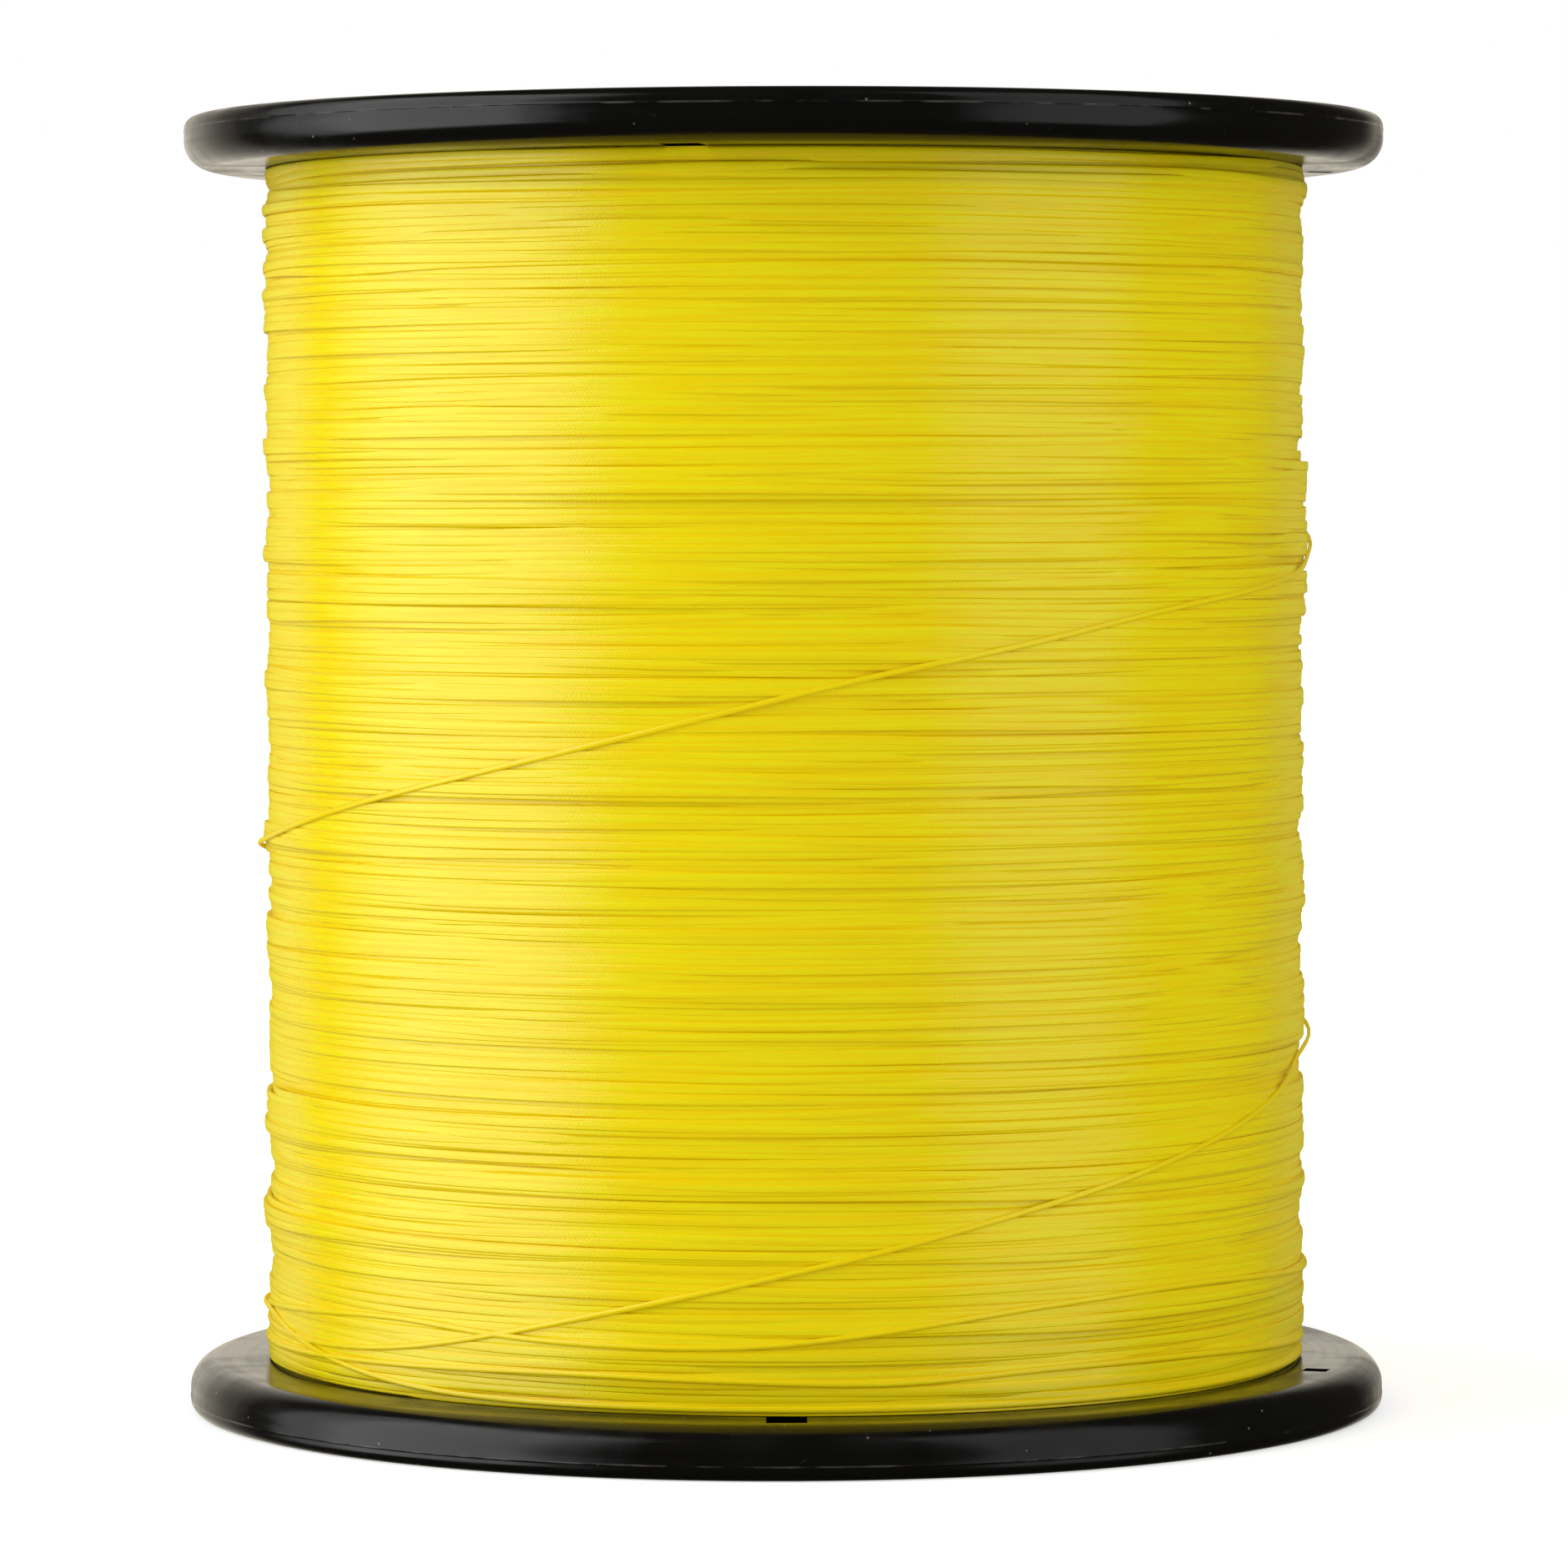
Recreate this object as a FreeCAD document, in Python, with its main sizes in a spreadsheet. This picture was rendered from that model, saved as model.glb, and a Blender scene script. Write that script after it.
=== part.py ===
import FreeCAD, Part
import math
import os
import Sketcher
from FreeCAD import Placement, Rotation, Vector

# String reel: a two-flange spool with a large barrel, wound full with one length of racket string.
# The reel stands on its lower flange. Origin at the middle of that flange's foot, +Z along the spindle.
# The front of the reel is towards -Y.

DRIVING_SIZES = [
    # flange, a round moulding used at both ends
    ("flange_overhang", 11.1),
    ("rim_thick", 5.3),
    ("rim_width", 3.2),
    ("rim_inner_round", 2.9),
    ("rim_outer_round", 1.2),
    ("web_thick", 2.4),
    ("boss_dia", 30.0),
    ("boss_sink", 0.3),
    ("bore_dia", 16.0),
    ("bore_lead_in", 0.8),
    ("sleeve_dia", 22.0),
    ("sleeve_reach", 22.0),
    ("rib_count", 10),
    ("rib_width", 1.6),
    ("rib_sink", 0.9),
    ("fin_count", 5),
    ("fin_thick", 1.6),
    ("fin_rise", 14.0),
    ("fin_spread", 12.0),
    # string slots in the flange, measured from the first one
    ("slot_width", 4.0),
    ("slot_end_wall", 0.8),
    ("second_slot_turn", 72.0),
    ("third_slot_turn", 180.0),
    ("upper_flange_turn", 10.0),
    # snap hooks that centre the barrel and hold it on the flange
    ("hook_count", 5),
    ("hook_span", 16.0),
    ("hook_thick", 1.8),
    ("hook_side_play", 0.2),
    ("hook_end_play", 0.3),
    ("barb_reach", 1.2),
    ("barb_land", 0.8),
    ("barb_slope", 4.0),
    # barrel, a tube with a thicker collar at each end
    ("traverse", 123.9),
    ("barrel_dia", 102.8),
    ("collar_wall", 3.4),
    ("collar_length", 10.0),
    ("barrel_wall", 1.8),
    # string
    ("string_dia", 0.7),
    ("string_sides", 3),
    ("winding_depth", 2.85),
    ("lay_play", 0.05),
    ("shown_turns", 9),
    ("start_turn", -100.0),
    ("crossing_play", 0.6),
    ("string_bend", 1.5),
    ("tail_bend", 1.2),
    ("tail_length", 12.0),
]

# Where the last strands lie over the winding, a quarter turn apart from the right-hand edge on:
# their height above the lower flange, as a share of the traverse.
CROSSING_SHARES = [0.845, 0.667, 0.555, 0.421, 0.337, 0.264, 0.101, 0.024]

NUDGE = 0.5  # how far a rib, fin or hook reaches into the wall that carries it
EARLY_LIFT = 0.3  # diameters that the last turn has risen where it starts to climb on to the others
SAMPLE_STEP = 0.5  # spacing of the points on which the least gap is measured
NEIGHBOUR_STRETCH = 8  # diameters along the string within which two points are one stretch of it
NEARLY_STRAIGHT = 0.9999999  # cosine past which an arc is drawn as a line
INNER_FLATS = 3  # flats that turn the inner round of the rim
OUTER_FLATS = 2  # flats that turn its outer round

document = FreeCAD.newDocument("string_reel")
sheet = document.addObject("Spreadsheet::Sheet", "Sizes")
for row, (alias, value) in enumerate(DRIVING_SIZES, start=1):
    sheet.set("A%d" % row, alias)
    sheet.set("B%d" % row, str(value))
    sheet.setAlias("B%d" % row, alias)
document.recompute()


def size(alias):
    return float(getattr(sheet, alias))


def worked_out(expression):
    return float(sheet.evalExpression(expression.replace("Sizes.", "")))


# Sizes that follow from the driving ones, written once for every piece that uses them.
FLANGE_RADIUS = "(Sizes.barrel_dia / 2 + Sizes.flange_overhang)"
RIM_INNER_RADIUS = "(Sizes.barrel_dia / 2 + Sizes.flange_overhang - Sizes.rim_width)"
SLOT_END_RADIUS = RIM_INNER_RADIUS + " - Sizes.slot_end_wall"
RECESS_DEPTH = "(Sizes.rim_thick - Sizes.web_thick)"
BORE_RADIUS = "Sizes.bore_dia / 2"
BARREL_RADIUS = "Sizes.barrel_dia / 2"
COLLAR_RADIUS = "(Sizes.barrel_dia / 2 - Sizes.collar_wall)"
HOOK_RADIUS = "(Sizes.barrel_dia / 2 - Sizes.collar_wall - Sizes.hook_side_play)"
WINDING_RADIUS = "(Sizes.barrel_dia / 2 + Sizes.winding_depth)"
REEL_HEIGHT = "(Sizes.traverse + 2 * Sizes.rim_thick)"


def plane_of(body, role):
    return next(plane for plane in body.Origin.OriginFeatures if plane.Role == role)


def new_body(label):
    body = document.addObject("PartDesign::Body", label)
    body.Label = label
    return body


def new_sketch(body, name, role, height=None, turn=None):
    """A sketch on one of the body's own planes, lifted and turned by expressions where given."""
    sketch = body.newObject("Sketcher::SketchObject", name)
    sketch.AttachmentSupport = [(plane_of(body, role), "")]
    sketch.MapMode = "FlatFace"
    if turn is not None:
        sketch.AttachmentOffset = Placement(Vector(0, 0, 0), Rotation(Vector(0, 0, 1), worked_out(turn)))
        sketch.setExpression("AttachmentOffset.Rotation.Angle", turn)
    if height is not None:
        sketch.setExpression("AttachmentOffset.Base.z", height)
    return sketch


def pin_point(sketch, line, point, name, across, along):
    """Hold one end of a line at a distance from both axes of its sketch."""
    for kind, axis, expression in (("DistanceX", -2, across), ("DistanceY", -1, along)):
        value = worked_out(expression)
        if value == 0.0:
            sketch.addConstraint(Sketcher.Constraint("PointOnObject", line, point, axis))
            continue
        label = "%s_%s" % (name, kind[-1])
        index = sketch.addConstraint(Sketcher.Constraint(kind, -1, 1, line, point, value))
        sketch.renameConstraint(index, label)
        sketch.setExpression("Constraints." + label, expression)


def add_outline(sketch, corners, name="corner"):
    """A closed outline of straight sides through corners given as pairs of expressions."""
    points = [Vector(worked_out(across), worked_out(along), 0) for across, along in corners]
    first = sketch.GeometryCount
    count = len(points)
    for index in range(count):
        sketch.addGeometry(Part.LineSegment(points[index], points[(index + 1) % count]), False)
    for index in range(count):
        after = first + (index + 1) % count
        sketch.addConstraint(Sketcher.Constraint("Coincident", first + index, 2, after, 1))
    for index, (across, along) in enumerate(corners):
        pin_point(sketch, first + index, 1, "%s_%d" % (name, index), across, along)


def rectangle(low_across, high_across, low_along, high_along):
    return [
        (low_across, low_along),
        (high_across, low_along),
        (high_across, high_along),
        (low_across, high_along),
    ]


def revolve(body, name, sketch, angle=None):
    feature = body.newObject("PartDesign::Revolution", name)
    feature.Profile = sketch
    feature.ReferenceAxis = (sketch, ["V_Axis"])
    feature.Angle = 360.0
    if angle is not None:
        feature.setExpression("Angle", angle)
        feature.Midplane = True
    return feature


def pad(body, name, sketch, length, midplane=False):
    feature = body.newObject("PartDesign::Pad", name)
    feature.Profile = sketch
    feature.setExpression("Length", length)
    feature.Midplane = midplane
    return feature


def pocket(body, name, sketch, length):
    """A cut that runs from the sketch towards the foot of the flange."""
    feature = body.newObject("PartDesign::Pocket", name)
    feature.Profile = sketch
    feature.setExpression("Length", length)
    return feature


def polar_pattern(body, name, originals, count=None, span=None):
    pattern = body.newObject("PartDesign::PolarPattern", name)
    pattern.Originals = originals
    pattern.Axis = (plane_of(body, "Z_Axis"), [""])
    pattern.Angle = 360.0
    pattern.Occurrences = 2
    if count is not None:
        pattern.setExpression("Occurrences", count)
    if span is not None:
        pattern.setExpression("Angle", span)
    body.Tip = pattern
    return pattern


def cuts_more(before, feature):
    """The cut has to take material away, or it points off the solid."""
    if not feature.Shape.Volume < before - 0.001:
        raise RuntimeError(feature.Label + " cuts nothing")


def rounded_corner(radius, height, round_size, flats, upper):
    """Corner points of an outside edge at a radius and a height, rounded in a few equal flats."""
    steps = range(flats + 1) if not upper else range(flats, -1, -1)
    corner = []
    for step in steps:
        turn = "%g deg" % (90.0 * step / flats)
        across = "%s - %s * (1 - sin(%s))" % (radius, round_size, turn)
        rise = "%s * (1 - cos(%s))" % (round_size, turn)
        corner.append((across, "%s - %s" % (height, rise) if upper else rise))
    return corner


def flange_section(body):
    """Half section: round rim, thin web, boss and spindle sleeve."""
    sketch = new_sketch(body, "section", "XZ_Plane")
    sleeve_top = "Sizes.rim_thick + Sizes.sleeve_reach"
    lead_radius = BORE_RADIUS + " + Sizes.bore_lead_in"
    corners = [
        (lead_radius, "Sizes.boss_sink"),
        ("Sizes.boss_dia / 2", "Sizes.boss_sink"),
        ("Sizes.boss_dia / 2", RECESS_DEPTH),
        (RIM_INNER_RADIUS, RECESS_DEPTH),
        (RIM_INNER_RADIUS, "0"),
    ]
    corners += rounded_corner(FLANGE_RADIUS, "0", "Sizes.rim_outer_round", OUTER_FLATS, upper=False)
    corners += rounded_corner(
        FLANGE_RADIUS, "Sizes.rim_thick", "Sizes.rim_inner_round", INNER_FLATS, upper=True)
    corners += [
        ("Sizes.sleeve_dia / 2", "Sizes.rim_thick"),
        ("Sizes.sleeve_dia / 2", sleeve_top),
        (lead_radius, sleeve_top),
        (BORE_RADIUS, sleeve_top + " - Sizes.bore_lead_in"),
        (BORE_RADIUS, "Sizes.boss_sink + Sizes.bore_lead_in"),
    ]
    add_outline(sketch, corners)
    return revolve(body, "turned_form", sketch)


def string_slots(body):
    """Three slots through the web that reach from the barrel nearly to the rim."""
    sketch = new_sketch(body, "slot_outline", "XY_Plane", height="Sizes.rim_thick")
    add_outline(sketch, rectangle(
        BARREL_RADIUS, SLOT_END_RADIUS, "-Sizes.slot_width / 2", "Sizes.slot_width / 2"))
    before = body.Tip.Shape.Volume
    slot = pocket(body, "string_slot", sketch, "Sizes.web_thick")
    document.recompute()
    cuts_more(before, slot)
    polar_pattern(body, "second_slot", [slot], span="Sizes.second_slot_turn")
    polar_pattern(body, "third_slot", [slot], span="Sizes.third_slot_turn")
    document.recompute()


def outer_ribs(body):
    """Ribs in the recess of the outer side, from the boss to the rim, halfway between the slots."""
    sketch = new_sketch(
        body, "rib_outline", "XY_Plane", height="Sizes.rib_sink", turn="180 / Sizes.rib_count")
    nudge = " %+g" % NUDGE
    add_outline(sketch, rectangle(
        "Sizes.boss_dia / 2" + " %+g" % -NUDGE, RIM_INNER_RADIUS + nudge,
        "-Sizes.rib_width / 2", "Sizes.rib_width / 2"))
    rib = pad(body, "rib", sketch, RECESS_DEPTH + " - Sizes.rib_sink")
    polar_pattern(body, "ribs", [rib], count="Sizes.rib_count")
    document.recompute()


def sleeve_fins(body):
    """Fins that brace the spindle sleeve on the inner side."""
    sketch = new_sketch(body, "fin_outline", "XZ_Plane")
    sunk = " %+g" % -NUDGE
    add_outline(sketch, [
        ("Sizes.sleeve_dia / 2" + sunk, "Sizes.rim_thick" + sunk),
        ("Sizes.sleeve_dia / 2 + Sizes.fin_spread", "Sizes.rim_thick" + sunk),
        ("Sizes.sleeve_dia / 2 + Sizes.fin_spread", "Sizes.rim_thick"),
        ("Sizes.sleeve_dia / 2", "Sizes.rim_thick + Sizes.fin_rise"),
        ("Sizes.sleeve_dia / 2" + sunk, "Sizes.rim_thick + Sizes.fin_rise"),
    ])
    fin = pad(body, "fin", sketch, "Sizes.fin_thick", midplane=True)
    polar_pattern(body, "fins", [fin], count="Sizes.fin_count")
    document.recompute()


def snap_hooks(body):
    """Curved hooks on the inner side; their barbs snap in behind the collar of the barrel."""
    sketch = new_sketch(body, "hook_outline", "XZ_Plane")
    inner = HOOK_RADIUS + " - Sizes.hook_thick"
    barb = HOOK_RADIUS + " + Sizes.barb_reach"
    sunk = "Sizes.rim_thick" + " %+g" % -NUDGE
    lock = "Sizes.rim_thick + Sizes.collar_length + Sizes.hook_end_play"
    land = lock + " + Sizes.barb_land"
    add_outline(sketch, [
        (inner, sunk),
        (HOOK_RADIUS, sunk),
        (HOOK_RADIUS, lock),
        (barb, lock),
        (barb, land),
        (HOOK_RADIUS, land + " + Sizes.barb_slope"),
        (inner, land + " + Sizes.barb_slope"),
    ])
    hook = revolve(body, "snap_hook", sketch, angle="Sizes.hook_span")
    polar_pattern(body, "snap_hooks", [hook], count="Sizes.hook_count")
    document.recompute()


def make_flange(label, placement):
    """One flange, foot down and inner side up in its own frame, its first slot along +X."""
    body = new_body(label)
    flange_section(body)
    document.recompute()
    string_slots(body)
    outer_ribs(body)
    sleeve_fins(body)
    snap_hooks(body)
    body.Placement = placement
    return body


def make_barrel():
    """Tube between the flanges; the snap hooks catch behind the collar at each of its ends."""
    body = new_body("barrel")
    sketch = new_sketch(body, "section", "XZ_Plane")
    thin_radius = "(Sizes.barrel_dia / 2 - Sizes.barrel_wall)"
    upper_collar = "Sizes.traverse - Sizes.collar_length"
    add_outline(sketch, [
        (COLLAR_RADIUS, "0"),
        (BARREL_RADIUS, "0"),
        (BARREL_RADIUS, "Sizes.traverse"),
        (COLLAR_RADIUS, "Sizes.traverse"),
        (COLLAR_RADIUS, upper_collar),
        (thin_radius, upper_collar),
        (thin_radius, "Sizes.collar_length"),
        (COLLAR_RADIUS, "Sizes.collar_length"),
    ])
    revolve(body, "tube", sketch)
    body.Placement = Placement(Vector(0, 0, size("rim_thick")), Rotation())
    return body


def make_string_pack():
    """The layers under the outer one, wound tight on the barrel."""
    body = new_body("string_pack")
    sketch = new_sketch(body, "ring", "XY_Plane")
    radii = [
        ("pack_radius", WINDING_RADIUS + " - Sizes.string_dia - Sizes.lay_play"),
        ("barrel_seat", BARREL_RADIUS + " + Sizes.lay_play"),
    ]
    for name, expression in radii:
        circle = Part.Circle(Vector(0, 0, 0), Vector(0, 0, 1), worked_out(expression))
        line = sketch.addGeometry(circle, False)
        sketch.addConstraint(Sketcher.Constraint("Coincident", line, 3, -1, 1))
        index = sketch.addConstraint(Sketcher.Constraint("Radius", line, worked_out(expression)))
        sketch.renameConstraint(index, name)
        sketch.setExpression("Constraints." + name, expression)
    pad(body, "layers", sketch, "Sizes.traverse - 2 * Sizes.lay_play")
    body.Placement = Placement(Vector(0, 0, size("rim_thick") + size("lay_play")), Rotation())
    return body


def drum_station(turn, radius, height, climb=0.0, spread=0.0):
    """Point and direction of the string on the drum.

    The turn runs clockwise seen from above, from the front. Climb and spread are what the height
    and the radius gain in one turn of 360 degrees.
    """
    angle = math.radians(turn)
    outward = Vector(-math.sin(angle), -math.cos(angle), 0)
    forward = Vector(-math.cos(angle), math.sin(angle), 0)
    point = outward * radius + Vector(0, 0, height)
    way = forward * radius + (outward * spread + Vector(0, 0, climb)) / (2 * math.pi)
    return point, way.normalize()


def arc_edge(start, knee, end):
    """The arc from start to end whose end tangents meet at the knee, legs of one length."""
    middle = (start + end) / 2
    leg = (knee - start).Length
    cosine = (middle - start).Length / leg
    if cosine > NEARLY_STRAIGHT:
        return Part.makeLine(start, end)
    crown = middle + (knee - middle) * (cosine / (1 + cosine))
    return Part.Arc(start, crown, end).toShape()


def biarc(first, second):
    """Two arcs that leave the first station and reach the second along their directions."""
    start, way_out = first
    end, way_in = second
    chord = end - start
    both = way_out + way_in
    turn = 2 * (1 - way_out.dot(way_in))
    along = chord.dot(both)
    leg = (math.sqrt(along * along + turn * chord.dot(chord)) - along) / turn
    knee_out = start + way_out * leg
    knee_in = end - way_in * leg
    joint = (knee_out + knee_in) / 2
    return [arc_edge(start, knee_out, joint), arc_edge(joint, knee_in, end)]


def quarter_bend(start, way, new_way, radius):
    """A quarter circle from one direction into another square to it, and where it ends."""
    knee = start + way * radius
    end = knee + new_way * radius
    return arc_edge(start, knee, end), end


def string_route():
    """Edges of the outer string: up from the lower flange, back down across the turns, out at the slot."""
    diameter = size("string_dia")
    floor = size("rim_thick")
    ceiling = floor + size("traverse")
    turn_radius = worked_out(WINDING_RADIUS) - diameter / 2
    over_radius = turn_radius + diameter + size("crossing_play")
    up = Vector(0, 0, 1)
    right = Vector(1, 0, 0)
    # the start stands square on the lower flange, on the right, past the second slot
    start_turn = size("start_turn")
    bend = size("string_bend")
    first_height = floor + diameter + bend
    last_height = ceiling - diameter
    half_turns = 2 * int(size("shown_turns"))
    top_turn = start_turn + 180.0 * half_turns + 180.0
    climb = 360 * (last_height - first_height) / (top_turn - start_turn)
    foot, forward = drum_station(start_turn, turn_radius, floor)
    edges = [Part.makeLine(foot, foot + up * diameter)]
    bend_edge, bend_end = quarter_bend(foot + up * diameter, up, forward, bend)
    edges.append(bend_edge)
    stations = [(bend_end, forward)]
    stations.append(drum_station(start_turn + 90.0, turn_radius, first_height + climb / 4, climb))
    for half in range(1, half_turns + 1):
        height = first_height + half * climb / 2
        stations.append(drum_station(start_turn + 180.0 * half, turn_radius, height, climb))
    # in its last half turn it climbs on to the turn below, and then lies across the others
    lifted = turn_radius + EARLY_LIFT * diameter
    stations.append(drum_station(top_turn - 90.0, lifted, last_height - climb / 4, climb))
    stations.append(drum_station(top_turn, over_radius, last_height))
    heights = [last_height]
    heights.extend(floor + share * (ceiling - floor) for share in CROSSING_SHARES)
    for index in range(1, len(heights) - 1):
        steepness = 2 * (heights[index + 1] - heights[index - 1])
        stations.append(drum_station(top_turn + 90.0 * index, over_radius, heights[index], steepness))
    # the free end turns down into the slot at the back and lies along the recess
    tail_bend = size("tail_bend")
    drop = Vector(diameter / 2 - tail_bend, over_radius, 0)
    slot_entry = Vector(drop.x - bend, drop.y, floor + bend + diameter / 2)
    stations.append((slot_entry, right))
    for first, second in zip(stations, stations[1:]):
        edges.extend(biarc(first, second))
    bend_edge, bend_end = quarter_bend(slot_entry, right, -up, bend)
    edges.append(bend_edge)
    tail_height = floor - size("web_thick") - diameter / 2 - size("lay_play")
    drop_end = Vector(drop.x, drop.y, tail_height + tail_bend)
    edges.append(Part.makeLine(bend_end, drop_end))
    bend_edge, bend_end = quarter_bend(drop_end, -up, right, tail_bend)
    edges.append(bend_edge)
    edges.append(Part.makeLine(bend_end, bend_end + right * size("tail_length")))
    return edges


def least_gap(route, diameter):
    """The least free gap of the string to itself, measured on points along the route."""
    points = route.discretize(Distance=SAMPLE_STEP)
    cell = 3 * diameter
    apart = int(NEIGHBOUR_STRETCH * diameter / SAMPLE_STEP)
    grid = {}
    for index, point in enumerate(points):
        key = (int(point.x // cell), int(point.y // cell), int(point.z // cell))
        grid.setdefault(key, []).append(index)
    least = cell
    near = (-1, 0, 1)
    for (across, along, up), members in grid.items():
        around = [grid.get((across + i, along + j, up + k), []) for i in near for j in near for k in near]
        for other in sum(around, []):
            for index in members:
                if other - index > apart:
                    least = min(least, points[index].distanceToPoint(points[other]))
    return least - diameter


def make_outer_string():
    """The outer turns of the string and its last strands, as one unbroken cord with flat facets."""
    edges = string_route()
    route = Part.Wire(edges)
    sides = int(size("string_sides"))
    radius = size("string_dia") / 2
    foot = edges[0].Vertexes[0].Point
    outward = Vector(foot.x, foot.y, 0).normalize()
    sideways = Vector(-outward.y, outward.x, 0)
    corners = []
    for index in range(sides + 1):
        angle = 2 * math.pi * index / sides
        corners.append(foot + (outward * math.cos(angle) + sideways * math.sin(angle)) * radius)
    section = Part.makePolygon(corners)
    feature = document.addObject("Part::Feature", "outer_string")
    feature.Label = "outer_string"
    feature.Shape = route.makePipeShell([section], True, False)
    feature.Placement = Placement()
    gap = least_gap(route, size("string_dia"))
    print("outer string: length %.2f m, least gap to itself %.2f mm" % (route.Length / 1000, gap))
    return feature


# The slots of the lower flange start at the front; the upper flange is the same moulding turned over.
lower_placement = Placement(Vector(0, 0, 0), Rotation(Vector(0, 0, 1), -90))
turned_over = Rotation(Vector(1, 0, 0), 180) * Rotation(Vector(0, 0, 1), -90)
upper_turn = Rotation(Vector(0, 0, 1), -size("upper_flange_turn"))
upper_placement = Placement(Vector(0, 0, worked_out(REEL_HEIGHT)), upper_turn * turned_over)

pieces = [
    make_flange("lower_flange", lower_placement),
    make_flange("upper_flange", upper_placement),
    make_barrel(),
    make_string_pack(),
    make_outer_string(),
]
document.recompute()

for item in document.Objects:
    if "Invalid" in item.State or "Error" in item.State:
        raise RuntimeError(item.Label + " did not rebuild")
for piece in pieces:
    if piece.Shape.isNull() or not piece.Shape.isValid() or len(piece.Shape.Solids) != 1:
        raise RuntimeError(piece.Label + " is not one sound solid")

os.makedirs("parts", exist_ok=True)
for piece in pieces:
    piece.Shape.exportStep("parts/%s.step" % piece.Label)
    box = piece.Shape.BoundBox
    print("%s: volume %.0f mm3, z %.2f to %.2f, across %.2f" % (
        piece.Label, piece.Shape.Volume, box.ZMin, box.ZMax, box.XLength))
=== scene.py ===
import math

import bmesh
import bpy
import numpy as np
from mathutils import Matrix, Vector


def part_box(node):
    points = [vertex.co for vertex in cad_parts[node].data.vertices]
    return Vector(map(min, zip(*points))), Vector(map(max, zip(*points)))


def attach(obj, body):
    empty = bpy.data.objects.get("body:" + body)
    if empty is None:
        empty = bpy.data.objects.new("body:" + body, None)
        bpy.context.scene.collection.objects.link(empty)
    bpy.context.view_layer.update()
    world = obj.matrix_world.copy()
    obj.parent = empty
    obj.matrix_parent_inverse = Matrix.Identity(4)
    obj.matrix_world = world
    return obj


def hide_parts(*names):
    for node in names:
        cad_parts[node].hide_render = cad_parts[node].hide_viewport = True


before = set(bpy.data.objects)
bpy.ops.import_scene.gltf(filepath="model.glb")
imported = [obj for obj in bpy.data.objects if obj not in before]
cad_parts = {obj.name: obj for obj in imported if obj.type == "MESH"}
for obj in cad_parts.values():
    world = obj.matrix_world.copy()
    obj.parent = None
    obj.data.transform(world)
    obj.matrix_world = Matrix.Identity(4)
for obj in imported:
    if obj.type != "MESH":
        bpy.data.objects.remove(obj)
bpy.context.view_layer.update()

# A string reel: two black flanges on a barrel, wound full with yellow racket string.
# The reel stands on its lower flange, its front is towards -Y. All sizes are in metres.
MM = 0.001

# Sizes from the frame
_, lower_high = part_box("lower_flange")
_, upper_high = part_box("upper_flange")
barrel_low, barrel_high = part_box("barrel")
_, outer_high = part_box("outer_string")
FLANGE_RADIUS = lower_high.x
REEL_HEIGHT = upper_high.z
RIM_THICK = barrel_low.z
SLEEVE_TOP = lower_high.z
BARREL_RADIUS = barrel_high.x
FLOOR = barrel_low.z
CEILING = barrel_high.z

# The flange moulding
RIM_WIDTH = 3.2 * MM
RIM_INNER_ROUND = 2.9 * MM
RIM_OUTER_ROUND = 1.2 * MM
EDGE_ROUND = 0.35 * MM
WEB_THICK = 2.4 * MM
RECESS_DEPTH = RIM_THICK - WEB_THICK
BOSS_RADIUS = 15.0 * MM
BOSS_SINK = 0.3 * MM
BORE_RADIUS = 8.0 * MM
BORE_LEAD = 0.8 * MM
SLEEVE_RADIUS = 11.0 * MM
RIM_INNER_RADIUS = FLANGE_RADIUS - RIM_WIDTH
PARTING_HEIGHT = 1.5 * MM
PARTING_WIDTH = 0.16 * MM
PARTING_PROUD = 0.05 * MM
SPIN_STEPS = 288
MERGE_WITHIN = 0.002 * MM
ON_PLANE = 0.0001 * MM
A_HAIR = 0.01 * MM
SLOT_END_WALL = 0.8 * MM
SLOT_MARGIN = 0.4 * MM
# angle in degrees, inner end and width of each slot
SLOTS = [
    (0.0, BARREL_RADIUS, 4.0 * MM),
    (72.0, 55.9 * MM, 2.4 * MM),
    (180.0, BARREL_RADIUS, 4.0 * MM),
]
UPPER_TURN = 10.0
RIB_COUNT = 10
RIB_WIDTH = 1.6 * MM
RIB_SINK = 0.9 * MM
RIB_ROUND = 0.2 * MM
FIN_COUNT = 5
FIN_THICK = 1.6 * MM
FIN_RISE = 14.0 * MM
FIN_SPREAD = 12.0 * MM
HOOK_COUNT = 5
HOOK_SPAN = 16.0
HOOK_STEPS = 8
HOOK_THICK = 1.8 * MM
HOOK_RADIUS = BARREL_RADIUS - 3.6 * MM
HOOK_LOCK = RIM_THICK + 10.3 * MM
BARB_REACH = 1.2 * MM
BARB_LAND = 0.8 * MM
BARB_SLOPE = 4.0 * MM
NUDGE = 0.5 * MM

# The string and how it lies on the drum: pressed flat in the winding, rounder in the last strands
STRING = 0.7 * MM
PRESSED_ACROSS = 0.96 * MM
PRESSED_DEEP = 0.17 * MM
PRESSED_BED = 1.1 * MM
FREE_ACROSS = 0.6 * MM
FREE_DEEP = 0.4 * MM
LAY_ACROSS = 0.68 * MM
LAY_RISE = 0.09 * MM
FREE_RISE = 0.16 * MM
STATIONS = 144
HALF_TURN = STATIONS // 2
WINDING_RADIUS = 54.0 * MM
STATION_STEP = 2 * math.pi * WINDING_RADIUS / STATIONS
CORE_CLEAR = 0.05 * MM
CORE_SINK = 0.06 * MM
CORE_PITCH = 0.7 * MM
CORE_STEPS = 112
RIDGE_SHARES = (-0.42, -0.2, 0.0, 0.2, 0.42)
FIRST_REST = 53.85 * MM
UNEVENNESS = 0.26 * MM
LOWEST_LAY = FLOOR + PRESSED_ACROSS / 2
HIGHEST_LAY = CEILING - PRESSED_ACROSS / 2
MAIN_PITCH = 0.7 * MM
TOP_PITCH = 0.7 * MM

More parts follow.
